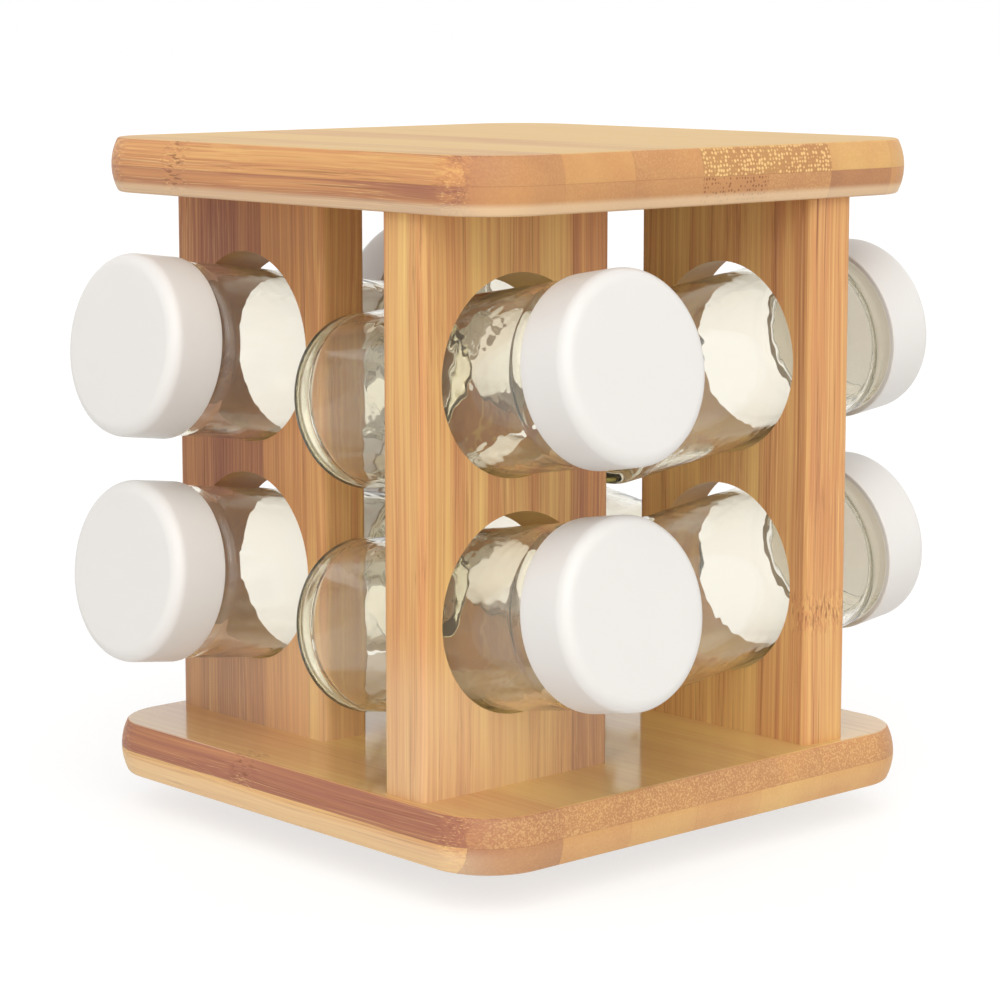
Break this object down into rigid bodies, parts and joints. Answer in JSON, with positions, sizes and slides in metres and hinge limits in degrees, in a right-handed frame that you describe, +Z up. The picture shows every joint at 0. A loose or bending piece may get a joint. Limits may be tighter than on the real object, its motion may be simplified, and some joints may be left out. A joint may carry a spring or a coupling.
{
  "type": "spice carousel",
  "caption": "Bamboo revolving spice rack: square base and top joined by upright panels in a pinwheel, with leaning round bores that hold capped glass jars.",
  "frame": {"origin": "on the turning axis, on the surface that the rubber feet stand on", "axes": "+Z up along the turning axis; the panel_right jars point their caps towards +X, panel_front towards -Y, panel_left towards -X, panel_back towards +Y"},
  "size_m": [0.2199, 0.2177, 0.203],
  "materials": {
    "bamboo": "honey-coloured laminated bamboo under a satin lacquer",
    "clear_glass": "clear polished soda glass, faintly green where it is thick",
    "white_plastic": "smooth white moulded plastic with a satin skin",
    "liner_foam": "white foamed sealing wad",
    "zinc_steel": "bright zinc-plated pressed steel",
    "black_rubber": "matt black rubber"
  },
  "bodies": {
    "foot": {"lower_plate": "zinc_steel", "rubber_feet": "black_rubber"},
    "ball_ring": {"bearing_balls": "zinc_steel"},
    "carousel": {"base_board": "bamboo", "top_board": "bamboo", "panel_right": "bamboo", "panel_front": "bamboo", "panel_left": "bamboo", "panel_back": "bamboo", "base_screws": "zinc_steel", "top_dowels": "bamboo", "upper_plate": "zinc_steel", "plate_screws": "zinc_steel"},
    "right_lower_jar": {"jar_right_lower": "clear_glass"},
    "right_lower_liner": {"liner_right_lower": "liner_foam"},
    "right_lower_cap": {"cap_right_lower": "white_plastic"},
    "right_upper_jar": {"jar_right_upper": "clear_glass"},
    "right_upper_liner": {"liner_right_upper": "liner_foam"},
    "right_upper_cap": {"cap_right_upper": "white_plastic"},
    "front_lower_jar": {"jar_front_lower": "clear_glass"},
    "front_lower_liner": {"liner_front_lower": "liner_foam"},
    "front_lower_cap": {"cap_front_lower": "white_plastic"},
    "front_upper_jar": {"jar_front_upper": "clear_glass"},
    "front_upper_liner": {"liner_front_upper": "liner_foam"},
    "front_upper_cap": {"cap_front_upper": "white_plastic"},
    "left_lower_jar": {"jar_left_lower": "clear_glass"},
    "left_lower_liner": {"liner_left_lower": "liner_foam"},
    "left_lower_cap": {"cap_left_lower": "white_plastic"},
    "left_upper_jar": {"jar_left_upper": "clear_glass"},
    "left_upper_liner": {"liner_left_upper": "liner_foam"},
    "left_upper_cap": {"cap_left_upper": "white_plastic"},
    "back_lower_jar": {"jar_back_lower": "clear_glass"},
    "back_lower_liner": {"liner_back_lower": "liner_foam"},
    "back_lower_cap": {"cap_back_lower": "white_plastic"},
    "back_upper_jar": {"jar_back_upper": "clear_glass"},
    "back_upper_liner": {"liner_back_upper": "liner_foam"},
    "back_upper_cap": {"cap_back_upper": "white_plastic"}
  },
  "joints": [
    {"name": "carousel_spin", "type": "hinge", "parent": "foot", "child": "carousel", "pos_m": [0, 0, 0.011], "axis": [0, 0, 1], "continuous": true},
    {"name": "ball_ring_spin", "type": "hinge", "parent": "foot", "child": "ball_ring", "pos_m": [0, 0, 0.007], "axis": [0, 0, 1], "continuous": true},
    {"name": "right_lower_jar_slide", "type": "slide", "parent": "carousel", "child": "right_lower_jar", "axis": [0.9848, 0, 0.1736], "range_m": [0, 0.11]},
    {"name": "right_lower_cap_lift", "type": "slide", "parent": "right_lower_jar", "child": "right_lower_liner", "axis": [0.9848, 0, 0.1736], "range_m": [0, 0.0169]},
    {"name": "right_lower_cap_turn", "type": "hinge", "parent": "right_lower_liner", "child": "right_lower_cap", "pos_m": [0.09748, -0.049, 0.08035], "axis": [0.9848, 0, 0.1736], "range_deg": [0, 1440]},
    {"name": "right_upper_jar_slide", "type": "slide", "parent": "carousel", "child": "right_upper_jar", "axis": [0.9848, 0, 0.1736], "range_m": [0, 0.11]},
    {"name": "right_upper_cap_lift", "type": "slide", "parent": "right_upper_jar", "child": "right_upper_liner", "axis": [0.9848, 0, 0.1736], "range_m": [0, 0.0169]},
    {"name": "right_upper_cap_turn", "type": "hinge", "parent": "right_upper_liner", "child": "right_upper_cap", "pos_m": [0.09748, -0.049, 0.14635], "axis": [0.9848, 0, 0.1736], "range_deg": [0, 1440]},
    {"name": "front_lower_jar_slide", "type": "slide", "parent": "carousel", "child": "front_lower_jar", "axis": [0, -0.9914, 0.1305], "range_m": [0, 0.11]},
    {"name": "front_lower_cap_lift", "type": "slide", "parent": "front_lower_jar", "child": "front_lower_liner", "axis": [0, -0.9914, 0.1305], "range_m": [0, 0.0169]},
    {"name": "front_lower_cap_turn", "type": "hinge", "parent": "front_lower_liner", "child": "front_lower_cap", "pos_m": [-0.049, -0.09714, 0.07811], "axis": [0, -0.9914, 0.1305], "range_deg": [0, 1440]},
    {"name": "front_upper_jar_slide", "type": "slide", "parent": "carousel", "child": "front_upper_jar", "axis": [0, -0.9914, 0.1305], "range_m": [0, 0.11]},
    {"name": "front_upper_cap_lift", "type": "slide", "parent": "front_upper_jar", "child": "front_upper_liner", "axis": [0, -0.9914, 0.1305], "range_m": [0, 0.0169]},
    {"name": "front_upper_cap_turn", "type": "hinge", "parent": "front_upper_liner", "child": "front_upper_cap", "pos_m": [-0.049, -0.09714, 0.14411], "axis": [0, -0.9914, 0.1305], "range_deg": [0, 1440]},
    {"name": "left_lower_jar_slide", "type": "slide", "parent": "carousel", "child": "left_lower_jar", "axis": [-0.989, 0, 0.1478], "range_m": [0, 0.11]},
    {"name": "left_lower_cap_lift", "type": "slide", "parent": "left_lower_jar", "child": "left_lower_liner", "axis": [-0.989, 0, 0.1478], "range_m": [0, 0.0169]},
    {"name": "left_lower_cap_turn", "type": "hinge", "parent": "left_lower_liner", "child": "left_lower_cap", "pos_m": [-0.09734, 0.049, 0.07874], "axis": [-0.989, 0, 0.1478], "range_deg": [0, 1440]},
    {"name": "left_upper_jar_slide", "type": "slide", "parent": "carousel", "child": "left_upper_jar", "axis": [-0.989, 0, 0.1478], "range_m": [0, 0.11]},
    {"name": "left_upper_cap_lift", "type": "slide", "parent": "left_upper_jar", "child": "left_upper_liner", "axis": [-0.989, 0, 0.1478], "range_m": [0, 0.0169]},
    {"name": "left_upper_cap_turn", "type": "hinge", "parent": "left_upper_liner", "child": "left_upper_cap", "pos_m": [-0.09734, 0.049, 0.14474], "axis": [-0.989, 0, 0.1478], "range_deg": [0, 1440]},
    {"name": "back_lower_jar_slide", "type": "slide", "parent": "carousel", "child": "back_lower_jar", "axis": [0, 0.9925, 0.1219], "range_m": [0, 0.11]},
    {"name": "back_lower_cap_lift", "type": "slide", "parent": "back_lower_jar", "child": "back_lower_liner", "axis": [0, 0.9925, 0.1219], "range_m": [0, 0.0169]},
    {"name": "back_lower_cap_turn", "type": "hinge", "parent": "back_lower_liner", "child": "back_lower_cap", "pos_m": [0.049, 0.09703, 0.0778], "axis": [0, 0.9925, 0.1219], "range_deg": [0, 1440]},
    {"name": "back_upper_jar_slide", "type": "slide", "parent": "carousel", "child": "back_upper_jar", "axis": [0, 0.9925, 0.1219], "range_m": [0, 0.11]},
    {"name": "back_upper_cap_lift", "type": "slide", "parent": "back_upper_jar", "child": "back_upper_liner", "axis": [0, 0.9925, 0.1219], "range_m": [0, 0.0169]},
    {"name": "back_upper_cap_turn", "type": "hinge", "parent": "back_upper_liner", "child": "back_upper_cap", "pos_m": [0.049, 0.09703, 0.1438], "axis": [0, 0.9925, 0.1219], "range_deg": [0, 1440]}
  ],
  "couplings": [
    {"joint": "ball_ring_spin", "follows": "carousel_spin", "ratio": 0.5},
    {"joint": "right_lower_cap_lift", "follows": "right_lower_cap_turn", "m_per_rad": 0.00066845},
    {"joint": "right_upper_cap_lift", "follows": "right_upper_cap_turn", "m_per_rad": 0.00066845},
    {"joint": "front_lower_cap_lift", "follows": "front_lower_cap_turn", "m_per_rad": 0.00066845},
    {"joint": "front_upper_cap_lift", "follows": "front_upper_cap_turn", "m_per_rad": 0.00066845},
    {"joint": "left_lower_cap_lift", "follows": "left_lower_cap_turn", "m_per_rad": 0.00066845},
    {"joint": "left_upper_cap_lift", "follows": "left_upper_cap_turn", "m_per_rad": 0.00066845},
    {"joint": "back_lower_cap_lift", "follows": "back_lower_cap_turn", "m_per_rad": 0.00066845},
    {"joint": "back_upper_cap_lift", "follows": "back_upper_cap_turn", "m_per_rad": 0.00066845}
  ]
}
